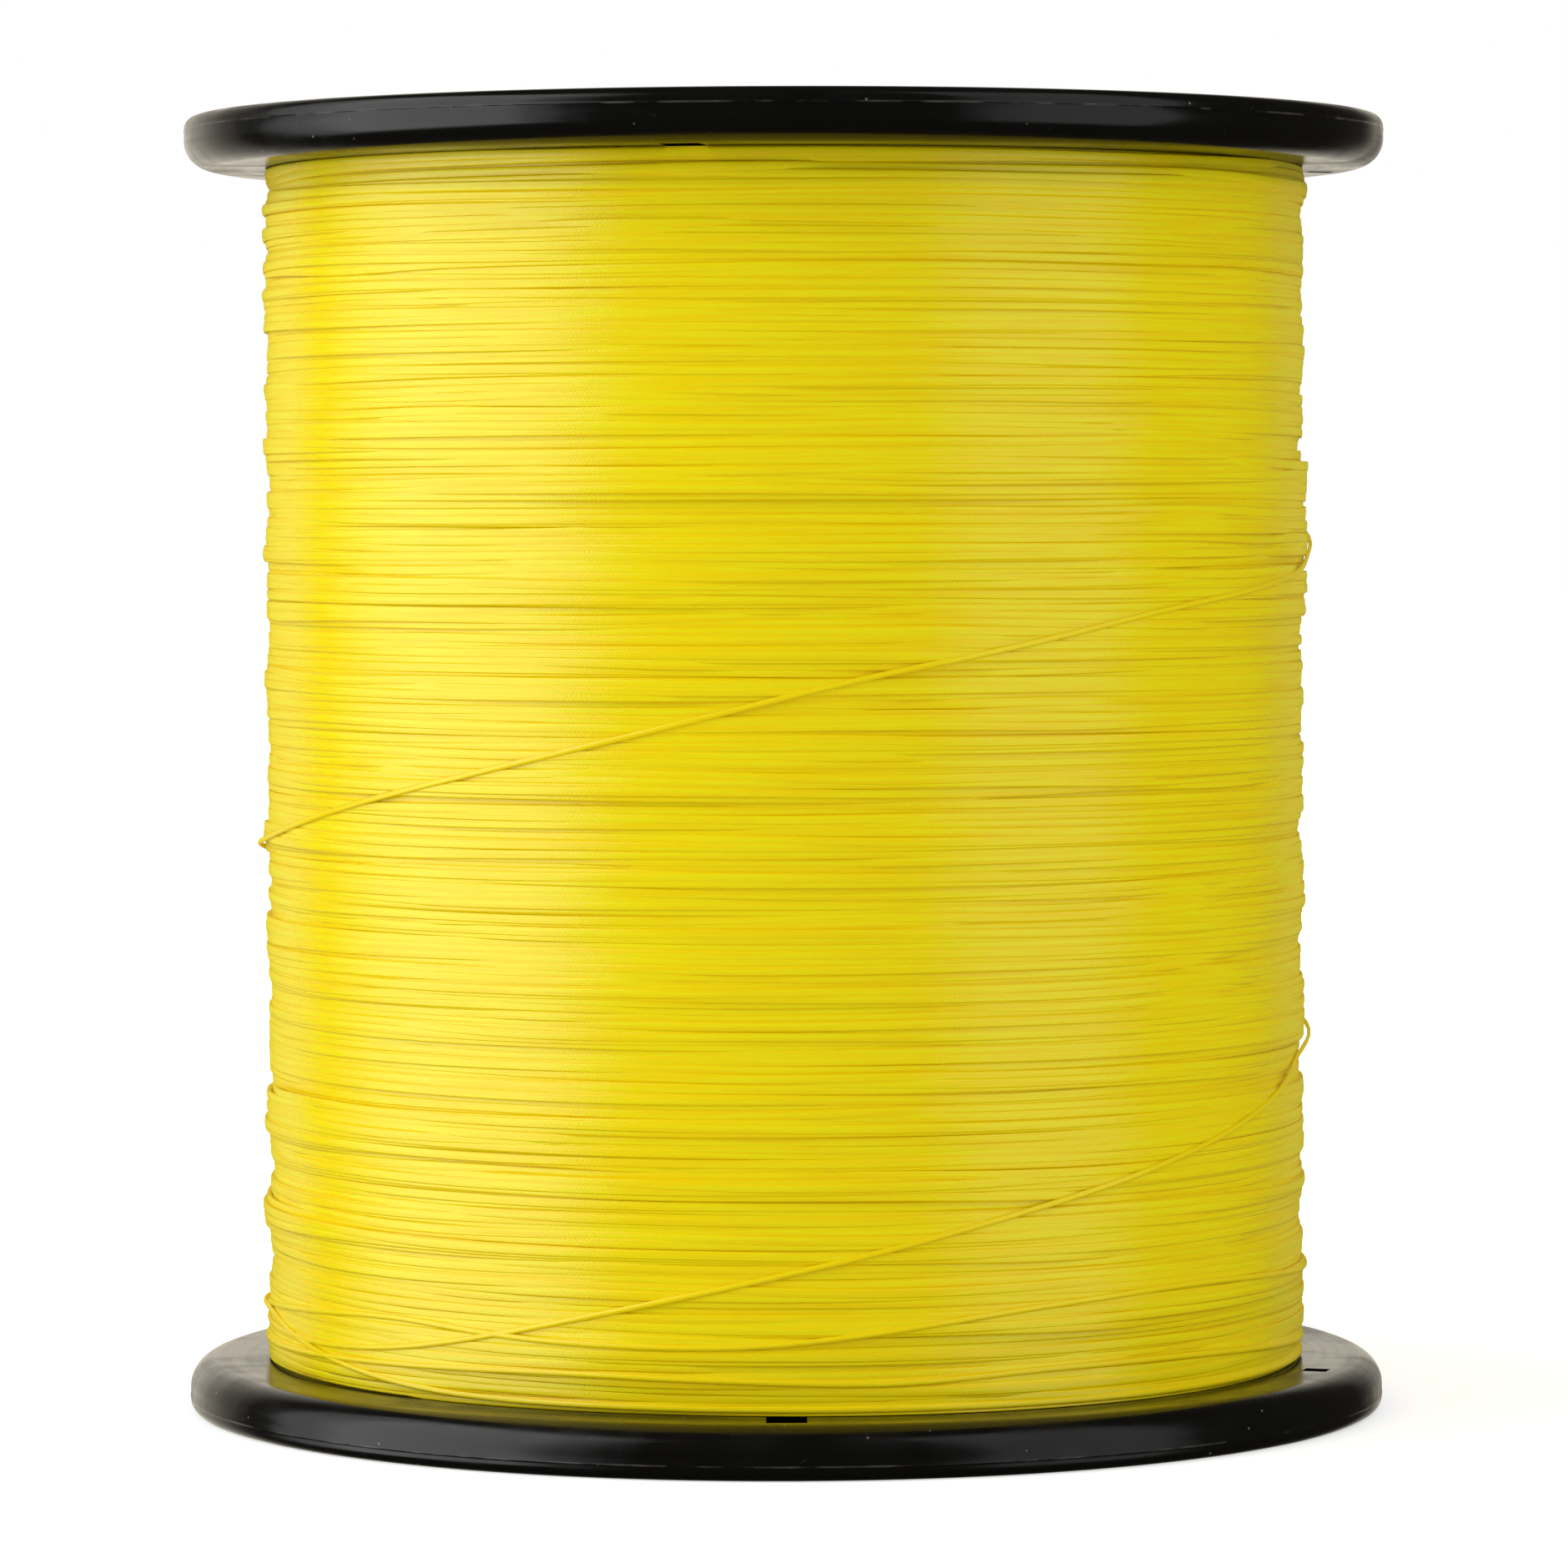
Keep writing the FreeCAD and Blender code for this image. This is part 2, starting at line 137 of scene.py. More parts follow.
# Where the turns bunch up at the right-hand edge, and how far they do so
BUNCH_AZIMUTH = 89.0
BUNCH_HEIGHT = 90.4 * MM
BUNCH_RISE = 1.4 * MM
BUNCH_HALF_TURN = 14.0
BUNCH_HALF_HEIGHT = 3.2 * MM


def link(name, mesh):
    piece = bpy.data.objects.new(name, mesh)
    bpy.context.scene.collection.objects.link(piece)
    return piece


def mesh_from(bm, name, smooth_angle=35.0):
    """A mesh with its doubles merged and its faces outwards, shaded smooth but at its edges."""
    bmesh.ops.remove_doubles(bm, verts=bm.verts, dist=MERGE_WITHIN)
    bmesh.ops.recalc_face_normals(bm, faces=bm.faces)
    limit = math.radians(smooth_angle)
    for face in bm.faces:
        face.smooth = True
    for edge in bm.edges:
        if len(edge.link_faces) == 2:
            edge.smooth = edge.calc_face_angle() < limit
    mesh = bpy.data.meshes.new(name)
    bm.to_mesh(mesh)
    bm.free()
    return mesh


def vertex_places(mesh):
    place = np.zeros(len(mesh.vertices) * 3)
    mesh.vertices.foreach_get("co", place)
    return place.reshape(-1, 3)


def new_material(name):
    material = bpy.data.materials.new(name)
    material.use_nodes = True
    nodes = material.node_tree.nodes
    links = material.node_tree.links
    return material, nodes, links, nodes["Principled BSDF"]


def math_node(nodes, links, operation, *values):
    """A Math node fed from sockets or set to numbers; gives its result."""
    node = nodes.new("ShaderNodeMath")
    node.operation = operation
    for index, value in enumerate(values):
        if isinstance(value, bpy.types.NodeSocket):
            links.new(value, node.inputs[index])
        else:
            node.inputs[index].default_value = value
    return node.outputs[0]


def mixed_tint(nodes, links, share, first, second):
    """The first colour where the share is 0, the second where it is 1."""
    tint = nodes.new("ShaderNodeMix")
    tint.data_type = "RGBA"
    tint.inputs["A"].default_value = first
    tint.inputs["B"].default_value = second
    links.new(share, tint.inputs["Factor"])
    return tint.outputs["Result"]


def vector_node(nodes, links, operation, *values):
    """A Vector Math node fed from sockets or set to vectors; gives its vector, or its number."""
    node = nodes.new("ShaderNodeVectorMath")
    node.operation = operation
    for index, value in enumerate(values):
        if isinstance(value, bpy.types.NodeSocket):
            links.new(value, node.inputs[index])
        else:
            node.inputs[index].default_value = value
    gives_number = operation in ("LENGTH", "DOT_PRODUCT")
    return node.outputs["Value" if gives_number else "Vector"]


def map_range(nodes, links, value, from_low, from_high, to_low, to_high):
    """A Map Range node that doesn't go beyond its two ends; gives its result."""
    node = nodes.new("ShaderNodeMapRange")
    links.new(value, node.inputs["Value"])
    node.inputs["From Min"].default_value = from_low
    node.inputs["From Max"].default_value = from_high
    node.inputs["To Min"].default_value = to_low
    node.inputs["To Max"].default_value = to_high
    return node.outputs["Result"]


# Camera at the photograph's angle
IMAGE_WIDTH = 1880
CAMERA_FOCUS_PIXELS = 8556.0
SENSOR_WIDTH = 36.0
CAMERA_PLACE = Vector((-0.000105, -0.74783, 0.09553))
CAMERA_PITCH = 2.34
CAMERA_ROLL = 0.14


def make_camera():
    data = bpy.data.cameras.new("camera")
    data.sensor_width = SENSOR_WIDTH
    data.lens = CAMERA_FOCUS_PIXELS * SENSOR_WIDTH / IMAGE_WIDTH
    data.clip_start = 0.01
    camera = bpy.data.objects.new("camera", data)
    bpy.context.scene.collection.objects.link(camera)
    tilt = Matrix.Rotation(math.radians(90.0 - CAMERA_PITCH), 4, "X")
    roll = Matrix.Rotation(math.radians(-CAMERA_ROLL), 4, "Z")
    camera.matrix_world = Matrix.Translation(CAMERA_PLACE) @ tilt @ roll
    bpy.context.scene.camera = camera


make_camera()

# Light: two overlapping soft boxes at the left and a weaker one at the right, in a white surround
LAMP_DISTANCE = 0.9
LAMP_CENTRE = Vector((0.0, 0.0, 0.07))


def soft_box(name, azimuth, elevation, width, height, level):
    """A lamp whose face looks at the reel and is as bright as a surface of that level."""
    data = bpy.data.lights.new(name, "AREA")
    data.shape = "RECTANGLE"
    data.size = width
    data.size_y = height
    data.energy = level * math.pi * width * height
    lamp = bpy.data.objects.new(name, data)
    bpy.context.scene.collection.objects.link(lamp)
    turn = math.radians(azimuth)
    rise = math.radians(elevation)
    way = Vector((math.sin(turn) * math.cos(rise), -math.cos(turn) * math.cos(rise), math.sin(rise)))
    lamp.location = LAMP_CENTRE + way * LAMP_DISTANCE
    lamp.rotation_euler = way.to_track_quat("Z", "Y").to_euler()
    lamp.visible_camera = False


WORLD_SIDE_LEVEL = 0.61
WORLD_TOP_LEVEL = 0.46
WORLD_LEAN = 0.14
WORLD_DARK_LEVEL = 0.03
WORLD_WHITE_LEVEL = 0.95
BACKDROP_SHIFT = 0.18
BACKDROP_EDGE = 0.74
BACKDROP_FULL = 1.0
BACKDROP_TINT = (1.0, 0.92, 0.77, 1.0)


def make_world():
    """White to the camera, plain light to the reel; gloss sees a dark room and a white backdrop."""
    world = bpy.data.worlds.new("surround")
    bpy.context.scene.world = world
    world.use_nodes = True
    nodes = world.node_tree.nodes
    links = world.node_tree.links
    plain = nodes["Background"]
    plain.inputs["Color"].default_value = (1.0, 1.0, 1.0, 1.0)
    direction = nodes.new("ShaderNodeTexCoord")
    split = nodes.new("ShaderNodeSeparateXYZ")
    links.new(direction.outputs["Generated"], split.inputs[0])
    steep = math_node(nodes, links, "ABSOLUTE", split.outputs["Z"])
    level = map_range(nodes, links, steep, 0.0, 1.0, WORLD_SIDE_LEVEL, WORLD_TOP_LEVEL)
    lean = math_node(nodes, links, "MULTIPLY_ADD", split.outputs["X"], WORLD_LEAN, level)
    links.new(lean, plain.inputs["Strength"])
    turned = math_node(
        nodes, links, "MULTIPLY_ADD", split.outputs["X"], -BACKDROP_SHIFT, split.outputs["Y"])
    behind = map_range(nodes, links, turned, BACKDROP_EDGE, BACKDROP_FULL, 0.0, 1.0)
    gloss = math_node(nodes, links, "MULTIPLY_ADD", behind, WORLD_WHITE_LEVEL, WORLD_DARK_LEVEL)
    mirrored = nodes.new("ShaderNodeBackground")
    mirrored.inputs["Color"].default_value = BACKDROP_TINT
    links.new(gloss, mirrored.inputs["Strength"])
    white = nodes.new("ShaderNodeBackground")
    white.inputs["Color"].default_value = (1.0, 1.0, 1.0, 1.0)
    path = nodes.new("ShaderNodeLightPath")
    glossy = nodes.new("ShaderNodeMixShader")
    links.new(path.outputs["Is Glossy Ray"], glossy.inputs[0])
    links.new(plain.outputs[0], glossy.inputs[1])
    links.new(mirrored.outputs[0], glossy.inputs[2])
    shown = nodes.new("ShaderNodeMixShader")
    links.new(path.outputs["Is Camera Ray"], shown.inputs[0])
    links.new(glossy.outputs[0], shown.inputs[1])
    links.new(white.outputs[0], shown.inputs[2])
    links.new(shown.outputs[0], nodes["World Output"].inputs["Surface"])


FLOOR_LEVEL = 0.8
FLOOR_RADIUS = 6.0
GLOW_NEAR = 0.08
GLOW_FAR = 0.3
GLOW_NEAR_LEVEL = 0.55


def make_floor():
    """A pale table that runs out of sight; it keeps the reel's faint shadow."""
    bm = bmesh.new()
    bmesh.ops.create_circle(bm, cap_ends=True, segments=64, radius=FLOOR_RADIUS)
    floor = link("floor", mesh_from(bm, "floor"))
    material, nodes, links, shader = new_material("table_white")
    diffuse = nodes.new("ShaderNodeBsdfDiffuse")
    diffuse.inputs["Color"].default_value = (FLOOR_LEVEL, FLOOR_LEVEL, FLOOR_LEVEL, 1.0)
    glow = nodes.new("ShaderNodeEmission")
    glow.inputs["Color"].default_value = (1.0, 1.0, 1.0, 1.0)
    path = nodes.new("ShaderNodeLightPath")
    place = nodes.new("ShaderNodeTexCoord")
    reach = vector_node(nodes, links, "LENGTH", place.outputs["Object"])
    fade = map_range(nodes, links, reach, GLOW_NEAR, GLOW_FAR, GLOW_NEAR_LEVEL, 1.0)
    seen = math_node(nodes, links, "MULTIPLY", path.outputs["Is Camera Ray"], fade)
    links.new(seen, glow.inputs["Strength"])
    both = nodes.new("ShaderNodeAddShader")
    links.new(diffuse.outputs[0], both.inputs[0])
    links.new(glow.outputs[0], both.inputs[1])
    links.new(both.outputs[0], nodes["Material Output"].inputs["Surface"])
    nodes.remove(shader)
    floor.data.materials.append(material)
    floor.visible_glossy = False


# name, azimuth and elevation in degrees, width and height in metres, level
soft_box("left_soft_box", -72.0, 14.0, 0.8, 1.5, 1.12)
soft_box("left_wide_box", -76.0, 14.0, 1.3, 1.7, 0.94)
soft_box("right_soft_box", 57.0, 16.0, 0.7, 1.7, 0.7)
make_world()
make_floor()

# Flanges


def round_points(centre_radius, centre_height, size, start, end, steps):
    """Points of a round in the half section, between two angles in degrees."""
    points = []
    for step in range(steps + 1):
        angle = math.radians(start + (end - start) * step / steps)
        across = centre_radius + size * math.cos(angle)
        points.append((across, centre_height + size * math.sin(angle)))
    return points


def flange_section():
    """Half section of the moulding, foot down, from the recess round the rim and back to the bore."""
    land_radius = FLANGE_RADIUS - PARTING_PROUD
    outer = RIM_OUTER_ROUND
    inner = RIM_INNER_ROUND
    edge = EDGE_ROUND
    half_ridge = PARTING_WIDTH / 2
    slot_side = BARREL_RADIUS - NUDGE
    slot_outer = RIM_INNER_RADIUS - SLOT_END_WALL + SLOT_MARGIN
    points = [
        (BORE_RADIUS, SLEEVE_TOP - BORE_LEAD),
        (BORE_RADIUS, BOSS_SINK + BORE_LEAD),
        (BORE_RADIUS + BORE_LEAD, BOSS_SINK),
    ]
    points += round_points(BOSS_RADIUS - edge, BOSS_SINK + edge, edge, -90.0, 0.0, 4)
    points += round_points(BOSS_RADIUS + edge, RECESS_DEPTH - edge, edge, 180.0, 90.0, 4)
    points += [(slot_side, RECESS_DEPTH), (slot_outer, RECESS_DEPTH)]
    points += round_points(RIM_INNER_RADIUS - edge, RECESS_DEPTH - edge, edge, 90.0, 0.0, 4)
    points += round_points(RIM_INNER_RADIUS + edge, edge, edge, 180.0, 270.0, 4)
    points += round_points(land_radius - outer, outer, outer, -90.0, 0.0, 10)
    points += [
        (land_radius, PARTING_HEIGHT - half_ridge),
        (land_radius + PARTING_PROUD, PARTING_HEIGHT),
        (land_radius, PARTING_HEIGHT + half_ridge),
    ]
    points += round_points(land_radius - inner, RIM_THICK - inner, inner, 0.0, 90.0, 18)
    points += [(slot_outer, RIM_THICK), (slot_side, RIM_THICK)]
    points += round_points(SLEEVE_RADIUS + edge, RIM_THICK + edge, edge, 270.0, 180.0, 4)
    points += round_points(SLEEVE_RADIUS - edge, SLEEVE_TOP - edge, edge, 0.0, 90.0, 4)
    points.append((BORE_RADIUS + BORE_LEAD, SLEEVE_TOP))
    return points


def spin_round(bm, section, steps):
    """A closed half section turned once round the spindle."""
    verts = [bm.verts.new((across, 0.0, height)) for across, height in section]
    edges = [bm.edges.new((verts[i - 1], verts[i])) for i in range(len(verts))]
    bmesh.ops.spin(
        bm, geom=verts + edges, cent=(0.0, 0.0, 0.0), axis=(0.0, 0.0, 1.0),
        angle=2 * math.pi, steps=steps, use_merge=True)


def cut_slot(bm, angle, inner_end, width):
    """One slot through the web, from its start nearly to the rim."""
    turn = Matrix.Rotation(math.radians(angle), 3, "Z")
    along = turn @ Vector((1.0, 0.0, 0.0))
    across = turn @ Vector((0.0, 1.0, 0.0))
    outer_end = RIM_INNER_RADIUS - SLOT_END_WALL
    half = width / 2
    web_low = RECESS_DEPTH - A_HAIR
    web_high = RIM_THICK + A_HAIR

    def on_web(face):
        middle = face.calc_center_median()
        flat = abs(face.normal.z) > 0.99 and web_low < middle.z < web_high
        near = abs(middle.dot(across)) < 3 * half and middle.dot(along) > BARREL_RADIUS - 2 * NUDGE
        return flat and near

    bm.normal_update()
    cuts = [
        (across * half, across),
        (across * -half, across),
        (along * inner_end, along),
        (along * outer_end, along),
    ]
    for point, normal in cuts:
        faces = [face for face in bm.faces if on_web(face)]
        edges = {edge for face in faces for edge in face.edges}
        verts = {vert for face in faces for vert in face.verts}
        bmesh.ops.bisect_plane(
            bm, geom=list(verts) + list(edges) + faces, dist=ON_PLANE, plane_co=point, plane_no=normal)
        bm.normal_update()
    inside = []
    for face in bm.faces:
        middle = face.calc_center_median()
        reach = middle.dot(along)
        if on_web(face) and abs(middle.dot(across)) < half and inner_end < reach < outer_end:
            inside.append(face)
    bmesh.ops.delete(bm, geom=inside, context="FACES")
    rims = [edge for edge in bm.edges if len(edge.link_faces) == 1]
    bmesh.ops.bridge_loops(bm, edges=rims)


def add_box(bm, low, high, turn):
    made = bmesh.ops.create_cube(bm, size=1.0)["verts"]
    size = Vector(high) - Vector(low)
    bmesh.ops.scale(bm, verts=made, vec=size)
    bmesh.ops.translate(bm, verts=made, vec=(Vector(low) + Vector(high)) / 2)
    bmesh.ops.rotate(bm, verts=made, cent=(0, 0, 0), matrix=Matrix.Rotation(turn, 3, "Z"))
    return made


def add_ribs(bm):
    """Ribs of the outer side, from the boss to the rim."""
    for index in range(RIB_COUNT):
        turn = 2 * math.pi * (index + 0.5) / RIB_COUNT
        low = (BOSS_RADIUS - NUDGE, -RIB_WIDTH / 2, RIB_SINK)
        high = (RIM_INNER_RADIUS + NUDGE, RIB_WIDTH / 2, RECESS_DEPTH + NUDGE)
        made = add_box(bm, low, high, turn)
        edges = {edge for vert in made for edge in vert.link_edges}
        lower = [edge for edge in edges if all(vert.co.z < RIB_SINK + A_HAIR for vert in edge.verts)]
        bmesh.ops.bevel(
            bm, geom=lower, offset=RIB_ROUND, offset_type="OFFSET", affect="EDGES",
            segments=2, profile=0.5, material=-1)


def extrude_outline(bm, corners, way):
    """A closed solid: a flat face through the corners, pushed along the way."""
    verts = [bm.verts.new(corner) for corner in corners]
    face = bm.faces.new(verts)
    moved = bmesh.ops.extrude_face_region(bm, geom=[face])["geom"]
    made = [item for item in moved if isinstance(item, bmesh.types.BMVert)]
    bmesh.ops.translate(bm, verts=made, vec=way)
    bm.faces.new([bm.verts.new(corner) for corner in corners])


def turn_new(bm, before, turn):
    """Turn the vertices that were made since about the spindle."""
    made = [vert for vert in bm.verts if vert not in before]
    bmesh.ops.rotate(bm, verts=made, cent=(0, 0, 0), matrix=Matrix.Rotation(turn, 3, "Z"))


def add_fins(bm):
    """Fins that brace the spindle sleeve inside the drum."""
    half = FIN_THICK / 2
    outline = [
        (SLEEVE_RADIUS - NUDGE, -half, RIM_THICK - NUDGE),
        (SLEEVE_RADIUS + FIN_SPREAD, -half, RIM_THICK - NUDGE),
        (SLEEVE_RADIUS + FIN_SPREAD, -half, RIM_THICK),
        (SLEEVE_RADIUS, -half, RIM_THICK + FIN_RISE),
        (SLEEVE_RADIUS - NUDGE, -half, RIM_THICK + FIN_RISE),
    ]
    for index in range(FIN_COUNT):
        before = set(bm.verts)
        extrude_outline(bm, outline, (0.0, FIN_THICK, 0.0))
        turn_new(bm, before, 2 * math.pi * index / FIN_COUNT)


def add_hooks(bm):
    """Curved snap hooks inside the drum; their barbs hold the barrel by its collar."""
    land = HOOK_LOCK + BARB_LAND
    outline = [
        (HOOK_RADIUS - HOOK_THICK, RIM_THICK - NUDGE),
        (HOOK_RADIUS, RIM_THICK - NUDGE),
        (HOOK_RADIUS, HOOK_LOCK),
        (HOOK_RADIUS + BARB_REACH, HOOK_LOCK),
        (HOOK_RADIUS + BARB_REACH, land),
        (HOOK_RADIUS, land + BARB_SLOPE),
        (HOOK_RADIUS - HOOK_THICK, land + BARB_SLOPE),
    ]
    for index in range(HOOK_COUNT):
        before = set(bm.verts)
        verts = [bm.verts.new((across, 0.0, height)) for across, height in outline]
        face = bm.faces.new(verts)
        first = math.radians(-HOOK_SPAN / 2)
        bmesh.ops.rotate(bm, verts=verts, cent=(0, 0, 0), matrix=Matrix.Rotation(first, 3, "Z"))
        bmesh.ops.spin(
            bm, geom=[face], cent=(0, 0, 0), axis=(0, 0, 1), angle=math.radians(HOOK_SPAN),
            steps=HOOK_STEPS)
        turn_new(bm, before, 2 * math.pi * index / HOOK_COUNT)


def make_flange(name, node, place, material):
    bm = bmesh.new()
    spin_round(bm, flange_section(), SPIN_STEPS)
    bmesh.ops.recalc_face_normals(bm, faces=bm.faces)
    for angle, inner_end, width in SLOTS:
        cut_slot(bm, angle, inner_end, width)
    add_ribs(bm)
    add_fins(bm)
    add_hooks(bm)
    bmesh.ops.transform(bm, verts=bm.verts, matrix=place)
    flange = link(name, mesh_from(bm, name))
    flange.data.materials.append(material)
    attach(flange, "root")
    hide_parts(node)


def cylinder_grain(nodes, links, around, along, out, detail):
    """A noise drawn out round the spindle: its scales round the rim, up the rim and outwards."""
    place = nodes.new("ShaderNodeTexCoord")
    stretch = vector_node(nodes, links, "MULTIPLY", place.outputs["Object"], (around, around, along))
    flat = vector_node(nodes, links, "MULTIPLY", place.outputs["Object"], (out, out, 0.0))
    noise = nodes.new("ShaderNodeTexNoise")
    noise.noise_dimensions = "4D"
    noise.inputs["Scale"].default_value = 1.0
    noise.inputs["Detail"].default_value = detail
    links.new(stretch, noise.inputs["Vector"])
    links.new(vector_node(nodes, links, "LENGTH", flat), noise.inputs["W"])
    return noise.outputs["Fac"]


DUST_CELLS = 500.0
SPECK = 0.17 * MM
SPECK_RARITY = 0.66
SCRATCH_CELLS = 160.0
SCRATCH = 0.03 * MM
SCRATCH_SHARE = 0.3
# How strong the painted highlight along the parting line is at most
PARTING_HIGHLIGHT_SHARE = 0.7
PLASTIC_BLACK = (0.0035, 0.0034, 0.003, 1.0)
PLASTIC_PALE = (0.16, 0.15, 0.13, 1.0)
PLASTIC_IOR = 1.45
STREAK_ROUGH_LEAST = 0.14
STREAK_ROUGH_MOST = 0.2
MARK_ROUGH = 0.16
STREAK_RELIEF = 0.01 * MM
STREAK_STRENGTH = 0.1


def voronoi(nodes, links, feature, cells):
    """A cell pattern on the object's own coordinates, that many cells to the metre."""
    place = nodes.new("ShaderNodeTexCoord")
    pattern = nodes.new("ShaderNodeTexVoronoi")
    pattern.feature = feature
    pattern.inputs["Scale"].default_value = cells
    links.new(place.outputs["Object"], pattern.inputs["Vector"])
    return pattern


def plain_noise(nodes, links, scale, detail):
    place = nodes.new("ShaderNodeTexCoord")
    noise = nodes.new("ShaderNodeTexNoise")
    noise.inputs["Scale"].default_value = scale
    noise.inputs["Detail"].default_value = detail
    links.new(place.outputs["Object"], noise.inputs["Vector"])
    return noise.outputs["Fac"]


def dust_specks(nodes, links):
    """Small pale specks, in one cell out of three."""
    cells = voronoi(nodes, links, "F1", DUST_CELLS)
    near = map_range(
        nodes, links, cells.outputs["Distance"], SPECK * DUST_CELLS * 0.5, SPECK * DUST_CELLS, 1.0, 0.0)
    chance = nodes.new("ShaderNodeSeparateColor")
    links.new(cells.outputs["Color"], chance.inputs[0])
    chosen = math_node(nodes, links, "GREATER_THAN", chance.outputs[0], SPECK_RARITY)
    return math_node(nodes, links, "MULTIPLY", near, chosen)


def fine_scratches(nodes, links):
    """Short hairlines here and there."""
    cells = voronoi(nodes, links, "DISTANCE_TO_EDGE", SCRATCH_CELLS)
    line = map_range(
        nodes, links, cells.outputs["Distance"], 0.0, SCRATCH * SCRATCH_CELLS, 1.0, 0.0)
    patch = map_range(nodes, links, plain_noise(nodes, links, 420.0, 1.0), 0.64, 0.7, 0.0, 1.0)
    return math_node(nodes, links, "MULTIPLY", line, patch)


def painted_parting_highlight(nodes, links):
    """A painted highlight along the mould's parting line: a pale line near the outer edge of both rims,
    broken here and there.
    """
    place = nodes.new("ShaderNodeTexCoord")
    split = nodes.new("ShaderNodeSeparateXYZ")
    links.new(place.outputs["Object"], split.inputs[0])
    off_middle = math_node(nodes, links, "SUBTRACT", split.outputs["Z"], REEL_HEIGHT / 2)
    from_middle = math_node(nodes, links, "ABSOLUTE", off_middle)
    away = math_node(nodes, links, "SUBTRACT", from_middle, REEL_HEIGHT / 2 - PARTING_HEIGHT)
    off_line = math_node(nodes, links, "ABSOLUTE", away)
    line = map_range(nodes, links, off_line, PARTING_WIDTH * 0.3, PARTING_WIDTH * 0.7, 1.0, 0.0)
    # Painted highlight: the pale line along the parting ridge comes and goes with noise
    highlight_strength = map_range(nodes, links, plain_noise(nodes, links, 260.0, 4.0), 0.45, 0.8, 0.0, PARTING_HIGHLIGHT_SHARE)
    return math_node(nodes, links, "MULTIPLY", line, highlight_strength)


def flange_plastic():
    """Glossy black plastic: fine streaks round the rim, handling marks, dust, a painted highlight along
    the parting line.
    """
    material, nodes, links, shader = new_material("spool_plastic_black")
    streaks = cylinder_grain(nodes, links, around=30.0, along=4000.0, out=1500.0, detail=3.0)
    even = map_range(nodes, links, streaks, 0.3, 0.7, STREAK_ROUGH_LEAST, STREAK_ROUGH_MOST)
    marks = map_range(nodes, links, plain_noise(nodes, links, 110.0, 5.0), 0.45, 0.7, 0.0, MARK_ROUGH)
    links.new(math_node(nodes, links, "ADD", even, marks), shader.inputs["Roughness"])
    scratches = math_node(nodes, links, "MULTIPLY", fine_scratches(nodes, links), SCRATCH_SHARE)
    specks = math_node(nodes, links, "MAXIMUM", dust_specks(nodes, links), scratches)
    # Pale where dust specks and scratches lie, and along the parting line as a painted highlight
    pale = math_node(nodes, links, "MAXIMUM", painted_parting_highlight(nodes, links), specks)
    links.new(mixed_tint(nodes, links, pale, PLASTIC_BLACK, PLASTIC_PALE), shader.inputs["Base Color"])
    shader.inputs["IOR"].default_value = PLASTIC_IOR
    bump = nodes.new("ShaderNodeBump")
    bump.inputs["Strength"].default_value = STREAK_STRENGTH
    bump.inputs["Distance"].default_value = STREAK_RELIEF
    links.new(streaks, bump.inputs["Height"])
    links.new(bump.outputs["Normal"], shader.inputs["Normal"])
    return material


black_plastic = flange_plastic()
lower_place = Matrix.Rotation(math.radians(-90.0), 4, "Z")
upper_place = (
    Matrix.Translation((0.0, 0.0, REEL_HEIGHT)) @ Matrix.Rotation(math.radians(-UPPER_TURN), 4, "Z")
    @ Matrix.Rotation(math.pi, 4, "X") @ lower_place)
make_flange("flange_lower", "lower_flange", lower_place, black_plastic)
make_flange("flange_upper", "upper_flange", upper_place, black_plastic)

# The string. A station is one step round the drum; the string runs clockwise seen from above,
# and station 0 is at the front. Every turn that is laid comes to rest on what lies there already.
NOWHERE = 1.0
MOST_TURNS = 400
SWELL_WAVES = 16
SWELL_SEED = 31
laid_height = np.full((STATIONS, MOST_TURNS), NOWHERE)
laid_radius = np.zeros((STATIONS, MOST_TURNS))
laid_count = np.zeros(STATIONS, int)


def resting_radius(columns, heights, least, rise=LAY_RISE):
    """How far out the middle line has to lie at each station to clear the string below."""
    across = (heights[:, None] - laid_height[columns]) / LAY_ACROSS
    room = 1.0 - across ** 2
    over = np.where(room > 0, laid_radius[columns] + rise * np.sqrt(np.maximum(room, 0.0)), 0.0)
    return np.maximum(over.max(axis=1), least)


def bunched_turns(columns, heights):
    """How far the turns bunch up at one place on the right-hand edge."""
    around = (columns * 360.0 / STATIONS + BUNCH_AZIMUTH + 180.0) % 360.0 - 180.0
    side = np.clip(around / BUNCH_HALF_TURN, -1.0, 1.0) * math.pi / 2
    rise = np.clip((heights - BUNCH_HEIGHT) / BUNCH_HALF_HEIGHT, -1.0, 1.0) * math.pi / 2
    return BUNCH_RISE * np.cos(side) ** 2 * np.cos(rise) ** 2


def bed_radius(columns, heights):
    """How far out the hidden layers reach; they swell and sink a little all over the drum."""
    chance = np.random.default_rng(SWELL_SEED)
    turn = columns * (2 * math.pi / STATIONS)
    swell = np.zeros(len(heights))
    for _ in range(SWELL_WAVES):
        around = chance.integers(-3, 4)
        period = chance.uniform(2.5, 14.0) * MM
        phase = chance.uniform(0.0, 2 * math.pi)
        swell += np.cos(around * turn + 2 * math.pi * heights / period + phase)
    uneven = UNEVENNESS * math.sqrt(2 / SWELL_WAVES) * swell
    return FIRST_REST + uneven + bunched_turns(columns, heights)


def pulled_tight(radii):
    """A tight string stands off before and after a bump, by as much as it cuts across the curve."""
    tight = radii.copy()
    count = len(radii)
    for steps in range(1, 5):
        drop = (steps * STATION_STEP) ** 2 / (2 * WINDING_RADIUS)
        tight[steps:] = np.maximum(tight[steps:], radii[:count - steps] - drop)
        tight[:-steps] = np.maximum(tight[:-steps], radii[steps:] - drop)
    return tight


def smooth(values, reach):
    """Values eased over that many neighbours on either side."""
    window = np.hanning(2 * reach + 3)
    padded = np.pad(values, reach + 1, mode="edge")
    return np.convolve(padded, window / window.sum(), "valid")


